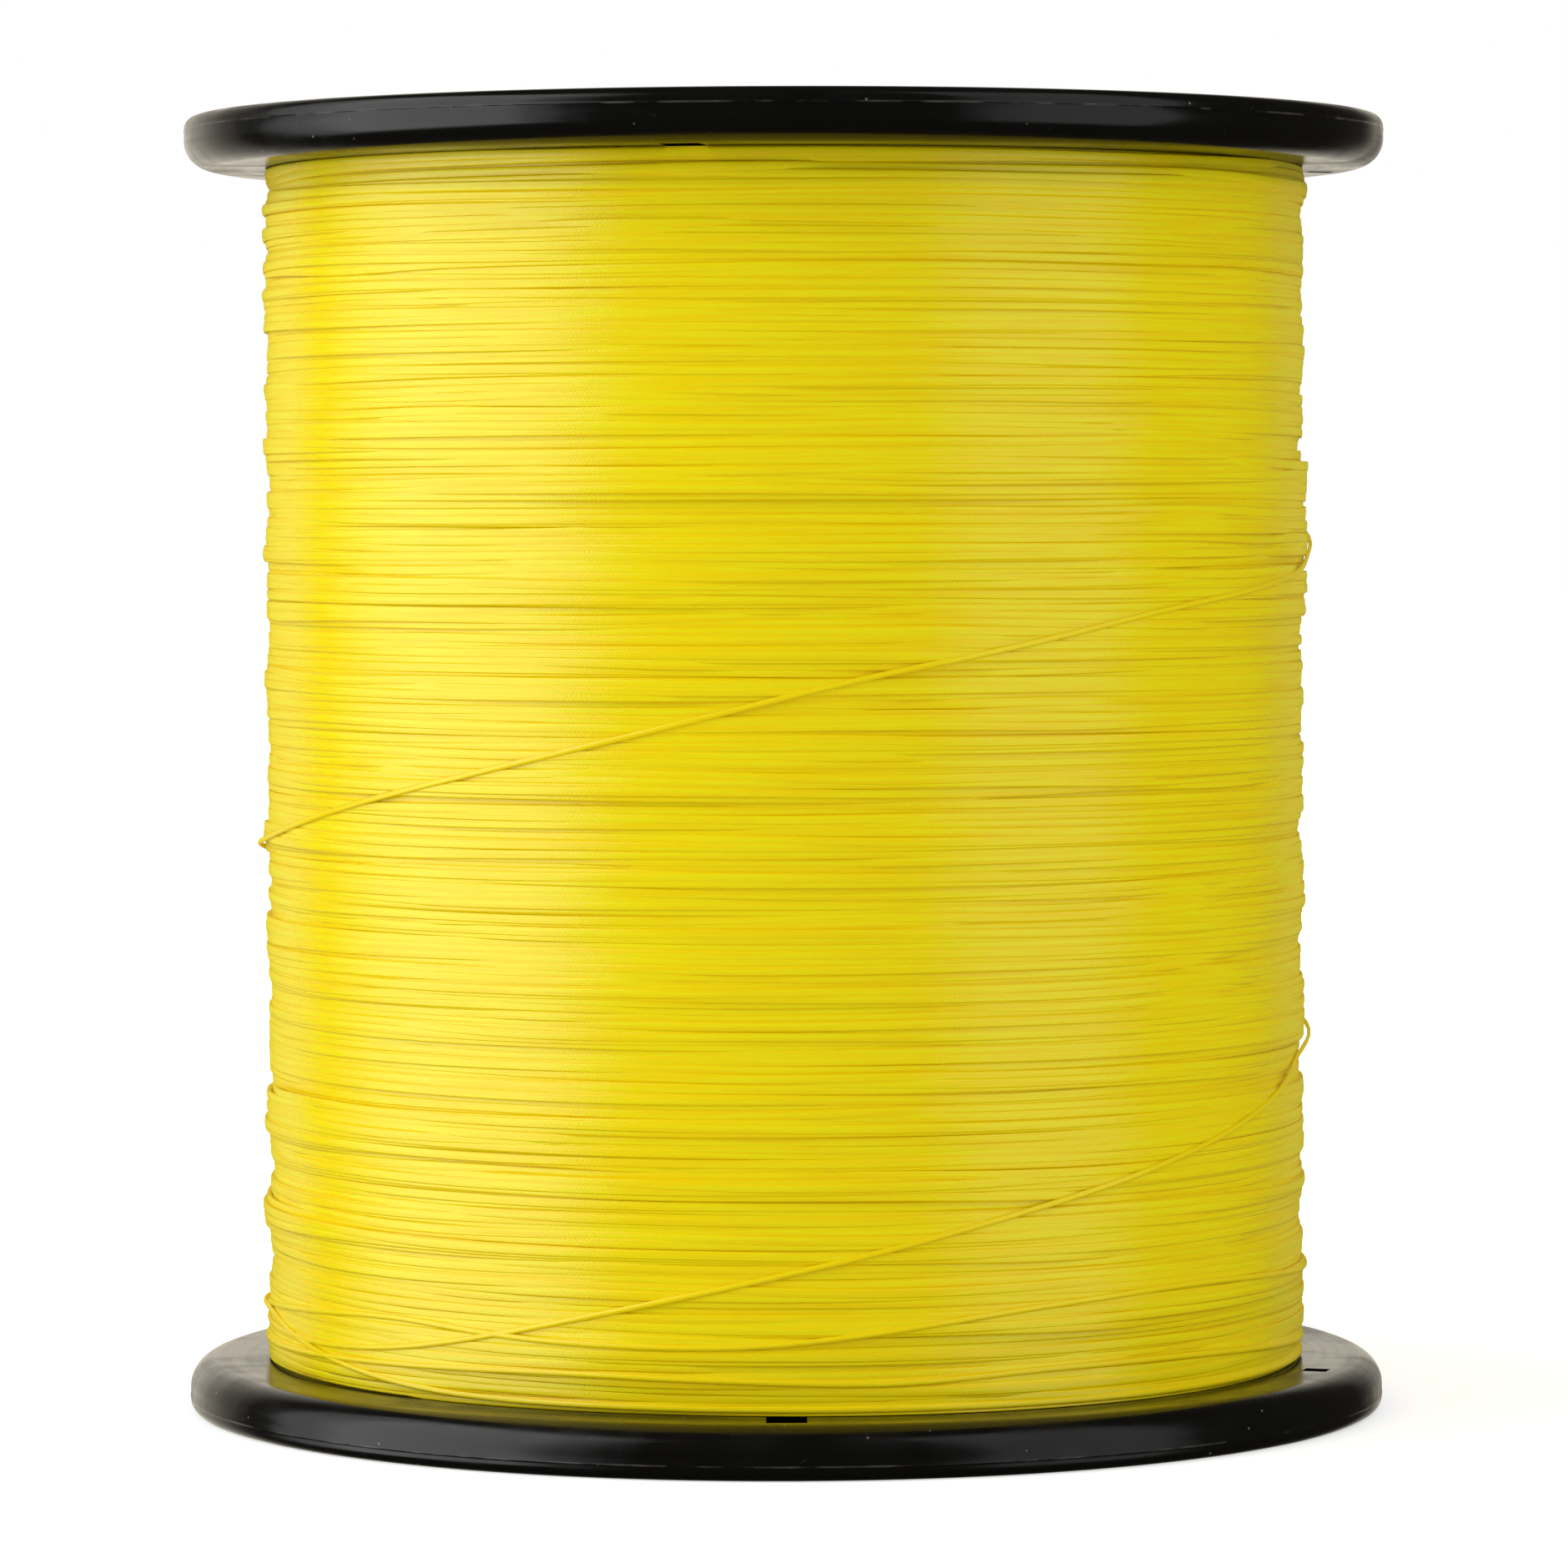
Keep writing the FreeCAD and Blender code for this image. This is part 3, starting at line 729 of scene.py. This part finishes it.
def wander(count, spread, turns, seed):
    """Smooth random drift with a given spread, correlated over a share of a turn."""
    window = np.hanning(2 * int(turns * STATIONS) + 3)
    noise = np.random.default_rng(seed).normal(size=count + len(window) - 1)
    return spread * np.convolve(noise, window, "valid") / math.sqrt((window ** 2).sum())


SHIFTS = np.linspace(-0.42, 0.42, 15) * MM
SHIFT_COST = 2.4 / MM
EASE_REACH = 5


def lay_turns(first_station, heights):
    """Lay a stretch of string turn by turn; each half turn slides sideways into the nearest groove."""
    count = len(heights)
    heights = heights.copy()
    radii = np.zeros(count)
    shift = np.zeros(count)
    for start in range(0, count, HALF_TURN):
        end = min(start + HALF_TURN, count)
        ahead = min(end + EASE_REACH + 1, count)
        columns = (first_station + np.arange(start, ahead)) % STATIONS
        wanted = heights[start:ahead]
        least = bed_radius(columns, wanted)
        costs = []
        for move in SHIFTS:
            tried = np.clip(wanted + move, LOWEST_LAY, HIGHEST_LAY)
            costs.append(resting_radius(columns, tried, least) + SHIFT_COST * move ** 2)
        shift[start:ahead] = SHIFTS[np.argmin(np.array(costs), axis=0)]
        back = max(start - EASE_REACH - 1, 0)
        eased = smooth(shift[back:ahead], EASE_REACH)[start - back:]
        settled = np.clip(wanted + eased, LOWEST_LAY, HIGHEST_LAY)
        resting = resting_radius(columns, settled, least)
        tight = pulled_tight(resting)
        kept = end - start
        heights[start:end] = settled[:kept]
        radii[start:end] = tight[:kept]
        laid = columns[:kept]
        laid_height[laid, laid_count[laid]] = settled[:kept]
        laid_radius[laid, laid_count[laid]] = tight[:kept]
        laid_count[laid] += 1
    return heights, radii


def drum_points(first_station, heights, radii):
    """Points in space of a stretch that starts at a station."""
    turn = (first_station + np.arange(len(heights))) * (2 * math.pi / STATIONS)
    return np.column_stack((-np.sin(turn) * radii, -np.cos(turn) * radii, heights))


SECTION_SIDES = 8
TUBE_MERGE = 0.001 * MM


def string_piece(name, points, across, deep, bed, nodes, material):
    """One stretch of string: a round tube whose rings are pressed to their own width and depth."""
    curve = bpy.data.curves.new(name + "_line", "CURVE")
    curve.dimensions = "3D"
    curve.bevel_depth = STRING / 2
    curve.bevel_resolution = SECTION_SIDES // 2 - 2
    curve.use_fill_caps = True
    curve.twist_mode = "Z_UP"
    spline = curve.splines.new("POLY")
    spline.points.add(len(points) - 1)
    spline.points.foreach_set("co", np.column_stack((points, np.ones(len(points)))).ravel())
    spline.use_smooth = True
    holder = bpy.data.objects.new(name + "_line", curve)
    mesh = bpy.data.meshes.new_from_object(holder)
    bpy.data.objects.remove(holder)
    mesh.name = name
    press_rings(mesh, points, across / STRING, deep / STRING, bed / STRING)
    length = np.linalg.norm(np.diff(points, axis=0), axis=1).sum()
    uv = np.zeros(len(mesh.loops) * 2)
    mesh.uv_layers[0].data.foreach_get("uv", uv)
    uv = uv.reshape(-1, 2)
    uv[:, 0] *= length
    mesh.uv_layers[0].data.foreach_set("uv", uv.ravel())
    bm = bmesh.new()
    bm.from_mesh(mesh)
    bmesh.ops.remove_doubles(bm, verts=bm.verts, dist=TUBE_MERGE)
    bm.to_mesh(mesh)
    bm.free()
    mesh.materials.clear()
    mesh.materials.append(material)
    piece = link(name, mesh)
    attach(piece, "root")
    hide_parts(*nodes)
    return length


def press_rings(mesh, points, across, deep, bed):
    """Scale each ring of a tube about its own point, its side towards the drum by a share of its own.

    The two cap rings come first in the mesh, the far one before the near one.
    """
    place = vertex_places(mesh)
    count = len(points)
    ring = np.concatenate(([count - 1, 0], np.arange(count))).repeat(SECTION_SIDES)
    middle = points[ring]
    outwards = middle * (1.0, 1.0, 0.0)
    outwards /= np.linalg.norm(outwards, axis=1)[:, None]
    offset = place - middle
    depth = (offset * outwards).sum(axis=1)
    share = np.where(depth > 0, deep[ring], bed[ring])
    rise = offset[:, 2]
    placed = place + outwards * (depth * (share - 1.0))[:, None]
    placed[:, 2] += rise * (across[ring] - 1.0)
    mesh.vertices.foreach_set("co", placed.ravel())


def winding_core(material):
    """The layers under the outer ones: a sleeve with a ridge for every turn, swelling as they do."""
    ridge_count = int((CEILING - FLOOR) / CORE_PITCH)
    pitch = (CEILING - FLOOR) / ridge_count
    section = [(BARREL_RADIUS + CORE_CLEAR, FLOOR + CORE_CLEAR)]
    for index in range(ridge_count):
        middle = FLOOR + (index + 0.5) * pitch
        for share in RIDGE_SHARES:
            bulge = (math.sqrt(0.25 - share * share) - 0.5) * PRESSED_DEEP
            section.append((FIRST_REST - CORE_SINK + bulge, middle + share * pitch))
    section.append((BARREL_RADIUS + CORE_CLEAR, CEILING - CORE_CLEAR))
    bm = bmesh.new()
    spin_round(bm, section, CORE_STEPS)
    mesh = mesh_from(bm, "winding_core", 80.0)
    place = vertex_places(mesh)
    reach = np.hypot(place[:, 0], place[:, 1])
    outer = reach > BARREL_RADIUS + 1.0 * MM
    station = np.arctan2(-place[:, 0], -place[:, 1]) / (2 * math.pi) * STATIONS
    swell = np.where(outer, bed_radius(station, place[:, 2]) - FIRST_REST, 0.0)
    place[:, :2] *= (1.0 + swell / reach)[:, None]
    mesh.vertices.foreach_set("co", place.ravel())
    core = link("winding_core", mesh)
    core.data.materials.append(material)
    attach(core, "root")
    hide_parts("string_pack")


def softened_normal(nodes, links, share):
    """The normal turned part of the way outwards, as light that seeps through the string evens its
    shade, and how squarely the surface faces outwards."""
    facing = nodes.new("ShaderNodeNewGeometry")
    outwards = vector_node(nodes, links, "MULTIPLY", facing.outputs["Position"], (1.0, 1.0, 0.0))
    unit = vector_node(nodes, links, "NORMALIZE", outwards)
    turned = nodes.new("ShaderNodeMix")
    turned.data_type = "VECTOR"
    turned.inputs["Factor"].default_value = share
    links.new(facing.outputs["Normal"], turned.inputs["A"])
    links.new(unit, turned.inputs["B"])
    even = vector_node(nodes, links, "NORMALIZE", turned.outputs["Result"])
    crown = vector_node(nodes, links, "DOT_PRODUCT", facing.outputs["Normal"], unit)
    return even, crown


SEEPING_LIGHT = 0.2
BRAID_LENGTH = 0.5 * MM
BRAID_STRANDS = 5.0
BRAID_RELIEF = 0.005 * MM
FILAMENTS_ALONG = 70.0
FILAMENTS_AROUND = 7.0
FILAMENT_SHARE = 0.7
FILAMENT_RELIEF = 0.035 * MM
# The string's two tints: amber for painted shade in its grooves and flanks and for darker random tone,
# lemon for its crowns and paler tone
STRING_AMBER = (0.98, 0.735, 0.0, 1.0)
STRING_LEMON = (0.96, 0.83, 0.006, 1.0)
STRING_ROUGH = 0.15
STRING_LIT_ROUGH = 0.1
EDGE_ROUGH = 0.5
STRING_IOR = 1.5
SHEEN_WEIGHT = 0.85
SHEEN_ROUGH = 0.3
SHEEN_TINT = (1.0, 0.88, 0.05, 1.0)


def string_material():
    """Yellow multifilament string: amber painted as shade where it turns away from the outside, in its
    grooves and flanks, lemon on its crowns, with random tone; sheen on its filaments and a fine braid.
    """
    material, nodes, links, shader = new_material("string_yellow_braid")
    place = nodes.new("ShaderNodeUVMap")
    place.uv_map = "UVMap"
    split = nodes.new("ShaderNodeSeparateXYZ")
    links.new(place.outputs[0], split.inputs[0])
    along, around = split.outputs["X"], split.outputs["Y"]

    streak_place = nodes.new("ShaderNodeCombineXYZ")
    links.new(math_node(nodes, links, "MULTIPLY", along, FILAMENTS_ALONG), streak_place.inputs["X"])
    links.new(math_node(nodes, links, "MULTIPLY", around, FILAMENTS_AROUND), streak_place.inputs["Y"])
    streaks = nodes.new("ShaderNodeTexNoise")
    streaks.inputs["Scale"].default_value = 1.0
    streaks.inputs["Detail"].default_value = 2.0
    links.new(streak_place.outputs[0], streaks.inputs["Vector"])
    filaments = streaks.outputs["Fac"]

    tone = cylinder_grain(nodes, links, around=45.0, along=1300.0, out=0.0, detail=2.0)
    normal, crown = softened_normal(nodes, links, SEEPING_LIGHT)
    tone_part = math_node(nodes, links, "MULTIPLY", tone, 1.0 - FILAMENT_SHARE)
    pale = math_node(nodes, links, "MULTIPLY_ADD", filaments, FILAMENT_SHARE, tone_part)
    # Painted shade: the base colour goes amber where the surface turns away from outwards and lemon on
    # the crowns, mixed with random tone
    painted_crown_light_and_tone = math_node(
        nodes, links, "MULTIPLY",
        map_range(nodes, links, pale, 0.4, 0.58, 0.0, 1.0),
        map_range(nodes, links, crown, 0.9, 0.99, 0.0, 1.0))
    links.new(mixed_tint(nodes, links, painted_crown_light_and_tone, STRING_AMBER, STRING_LEMON), shader.inputs["Base Color"])
    sight = nodes.new("ShaderNodeLayerWeight")
    dull = map_range(nodes, links, sight.outputs["Facing"], 0.58, 0.86, 0.0, EDGE_ROUGH)
    clear = map_range(nodes, links, painted_crown_light_and_tone, 0.0, 1.0, STRING_ROUGH, STRING_LIT_ROUGH)
    links.new(math_node(nodes, links, "ADD", clear, dull), shader.inputs["Roughness"])
    shader.inputs["IOR"].default_value = STRING_IOR
    shader.inputs["Sheen Weight"].default_value = SHEEN_WEIGHT
    shader.inputs["Sheen Roughness"].default_value = SHEEN_ROUGH
    shader.inputs["Sheen Tint"].default_value = SHEEN_TINT

    length_turn = math_node(nodes, links, "MULTIPLY", along, 2 * math.pi / BRAID_LENGTH)
    round_turn = math_node(nodes, links, "MULTIPLY", around, 2 * math.pi * BRAID_STRANDS)
    one_way = math_node(nodes, links, "SINE", math_node(nodes, links, "ADD", length_turn, round_turn))
    back = math_node(nodes, links, "SINE", math_node(nodes, links, "SUBTRACT", length_turn, round_turn))
    braid = math_node(nodes, links, "MAXIMUM", one_way, back)
    relief = math_node(
        nodes, links, "ADD",
        math_node(nodes, links, "MULTIPLY", braid, BRAID_RELIEF),
        math_node(nodes, links, "MULTIPLY", filaments, FILAMENT_RELIEF))
    bump = nodes.new("ShaderNodeBump")
    bump.inputs["Distance"].default_value = 1.0
    links.new(relief, bump.inputs["Height"])
    links.new(normal, bump.inputs["Normal"])
    links.new(bump.outputs["Normal"], shader.inputs["Normal"])
    return material


yellow_string = string_material()
winding_core(yellow_string)


def wind_layers():
    """The full outer layer wound downwards, and the looser one over it wound back up."""
    main_count = int((HIGHEST_LAY - LOWEST_LAY) / MAIN_PITCH * STATIONS)
    top_count = int((HIGHEST_LAY - LOWEST_LAY) / TOP_PITCH * STATIONS)
    left_edge = HALF_TURN // 2
    top_count += (left_edge - (HALF_TURN + main_count + top_count)) % STATIONS
    down = np.linspace(HIGHEST_LAY, LOWEST_LAY, main_count)
    up = np.linspace(LOWEST_LAY, HIGHEST_LAY, top_count)
    down += wander(main_count, spread=0.13 * MM, turns=0.35, seed=11)
    up += (
        wander(top_count, spread=0.14 * MM, turns=0.3, seed=12)
        + wander(top_count, spread=0.08 * MM, turns=0.07, seed=13))
    return lay_turns(HALF_TURN, np.concatenate((down, up)))


# The last strands: azimuth in degrees from the front towards +X, height above the foot in millimetres
LAST_STRANDS = [
    (-90.0, 128.8), (-135.0, 121.0), (-180.0, 110.0), (-225.0, 99.5), (-258.0, 94.2),
    (-268.0, 91.2), (-279.2, 88.1), (-317.9, 84.0), (-338.9, 80.2), (-354.9, 77.4), (-367.8, 74.3),
    (-381.3, 71.2), (-402.4, 66.7), (-438.9, 60.1), (-480.0, 55.5), (-540.0, 50.5), (-600.0, 44.5),
    (-640.7, 37.8), (-659.5, 33.0), (-679.2, 28.4), (-697.1, 24.8), (-715.1, 20.8), (-726.8, 18.3),
    (-742.9, 14.9), (-754.8, 12.4), (-766.6, 10.3), (-780.8, 9.3), (-820.0, 9.8), (-880.0, 12.5),
    (-940.0, 15.0), (-998.8, 14.9), (-1034.7, 16.5), (-1056.1, 15.4), (-1073.6, 13.4),
    (-1082.0, 12.2), (-1091.9, 11.9), (-1102.9, 12.0), (-1114.8, 12.4), (-1127.8, 13.5),
    (-1161.8, 11.6), (-1220.0, 9.0), (-1300.0, 7.2), (-1358.7, 7.4), (-1394.7, 9.2), (-1416.1, 9.2),
    (-1431.5, 8.1), (-1438.5, 8.5), (-1467.7, 9.2), (-1511.0, 8.0), (-1560.0, 7.2), (-1620.0, 6.4),
    (-1700.0, 6.0), (-1800.0, 5.9), (-1838.0, 6.1), (-1849.0, 6.7), (-1859.2, 7.9), (-1865.3, 8.8),
    (-1871.4, 9.6), (-1879.3, 10.6), (-1886.0, 11.6), (-1895.0, 11.2), (-1925.0, 9.2),
    (-1962.0, 7.15), (-1975.0, 7.15),
]

# Where they stand off in small loops: azimuth and half length in degrees, lift between them in mm
LOOPS = [
    (-271.0, 0.4, 5.0), (-446.0, 0.5, 7.0), (-632.0, 0.6, 11.0), (-1888.0, 0.45, 8.0), (-987.0, 0.3, 6.0),
]


def loop_lift(stations):
    lift = np.zeros(len(stations))
    for azimuth, rise, half_length in LOOPS:
        away = (stations * 360.0 / STATIONS + azimuth) / half_length
        lift += np.where(abs(away) < 1.0, rise * MM * np.cos(away * math.pi / 2) ** 2, 0.0)
    return lift


def last_strands():
    """Height and radius of the loose last turns, drawn across the others, from the left edge on."""
    azimuths, marks = np.array(LAST_STRANDS).T
    turns = -azimuths / 360.0 * STATIONS
    stations = np.arange(round(turns[0]), int(turns[-1]) + 1)
    heights = smooth(np.interp(stations, turns, marks * MM), EASE_REACH)
    columns = stations % STATIONS
    resting = bed_radius(columns, heights)
    for move in np.linspace(-0.3, 0.3, 3) * STRING:
        tried = np.clip(heights + move, LOWEST_LAY, HIGHEST_LAY)
        resting = np.maximum(resting, resting_radius(columns, tried, FIRST_REST, FREE_RISE))
    radii = pulled_tight(resting) + loop_lift(stations)
    to_tail = TAIL_RADIUS - TAIL_CLIMB * np.arange(len(radii))[::-1]
    return heights, np.maximum(radii, to_tail)


# The free end turns down through the slot at the back and lies along the recess; just before it
# the string moves out to the slot, by one climb at each station
TAIL_RADIUS = outer_high.y - STRING / 2
TAIL_CLIMB = 0.1 * MM
TAIL_LENGTH = 12.0 * MM
TAIL_HEIGHT = RECESS_DEPTH - STRING / 2 - 0.05 * MM
SLOT_BEND = 1.5 * MM
TAIL_BEND = 1.2 * MM


def tail_points():
    drop = STRING / 2 - TAIL_BEND
    entry = FLOOR + STRING / 2
    path = round_points(drop - SLOT_BEND, entry, SLOT_BEND, 90.0, 0.0, 6)
    path += round_points(drop + TAIL_BEND, TAIL_HEIGHT + TAIL_BEND, TAIL_BEND, 180.0, 270.0, 6)
    start = drop + TAIL_BEND
    path += [(start + TAIL_LENGTH * step / 5, TAIL_HEIGHT) for step in range(1, 6)]
    return np.array([(across, TAIL_RADIUS, height) for across, height in path])


# So many turns stay under 200,000 triangles; the cuts between the pieces are at the back
TURNS_IN_PIECE = 76


def section_size(pressed, free, freed, loose):
    """A size along the string: pressed in the winding, freer in the last strands, full at the end."""
    return pressed + (free - pressed) * freed + (STRING - free) * loose


def wind_string(material):
    """The whole string that shows: both layers and the last strands, one line cut into pieces."""
    heights, radii = wind_layers()
    wound = len(heights)
    last_heights, last_radii = last_strands()
    heights = np.concatenate((heights, last_heights[1:]))
    radii = np.concatenate((radii, smooth(last_radii, 1)[1:]))
    on_drum = drum_points(HALF_TURN, heights, radii)
    points = np.concatenate((on_drum, tail_points()))
    order = np.arange(len(points))
    freed = smooth((order > wound).astype(float), HALF_TURN // 2)
    loose = smooth((order > len(on_drum)).astype(float), 4)
    across = section_size(PRESSED_ACROSS, FREE_ACROSS, freed, loose)
    deep = section_size(PRESSED_DEEP, FREE_DEEP, freed, loose)
    bed = section_size(PRESSED_BED, FREE_DEEP, freed, loose)
    piece_count = math.ceil(len(points) / (TURNS_IN_PIECE * STATIONS))
    cuts = np.linspace(0, len(on_drum) / STATIONS, piece_count + 1).astype(int) * STATIONS
    cuts[-1] = len(points) - 1
    total = 0.0
    for index in range(piece_count):
        part = slice(cuts[index], cuts[index + 1] + 1)
        node = "string_pack" if index < piece_count // 2 else "outer_string"
        name = "string_turns_%d" % (index + 1)
        total += string_piece(
            name, points[part], across[part], deep[part], bed[part], [node], material)
    print("string laid: %.1f m" % total)


wind_string(yellow_string)


def barrel_plastic():
    """Black moulded plastic of the barrel, hidden under the winding."""
    material, nodes, links, shader = new_material("barrel_plastic")
    grain = cylinder_grain(nodes, links, around=60.0, along=60.0, out=60.0, detail=2.0)
    rough = map_range(nodes, links, grain, 0.0, 1.0, 0.35, 0.5)
    links.new(rough, shader.inputs["Roughness"])
    shader.inputs["Base Color"].default_value = (0.02, 0.02, 0.02, 1.0)
    return material


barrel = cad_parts["barrel"]
barrel.data.materials.clear()
barrel.data.materials.append(barrel_plastic())

bpy.context.scene.view_settings.view_transform = "Standard"
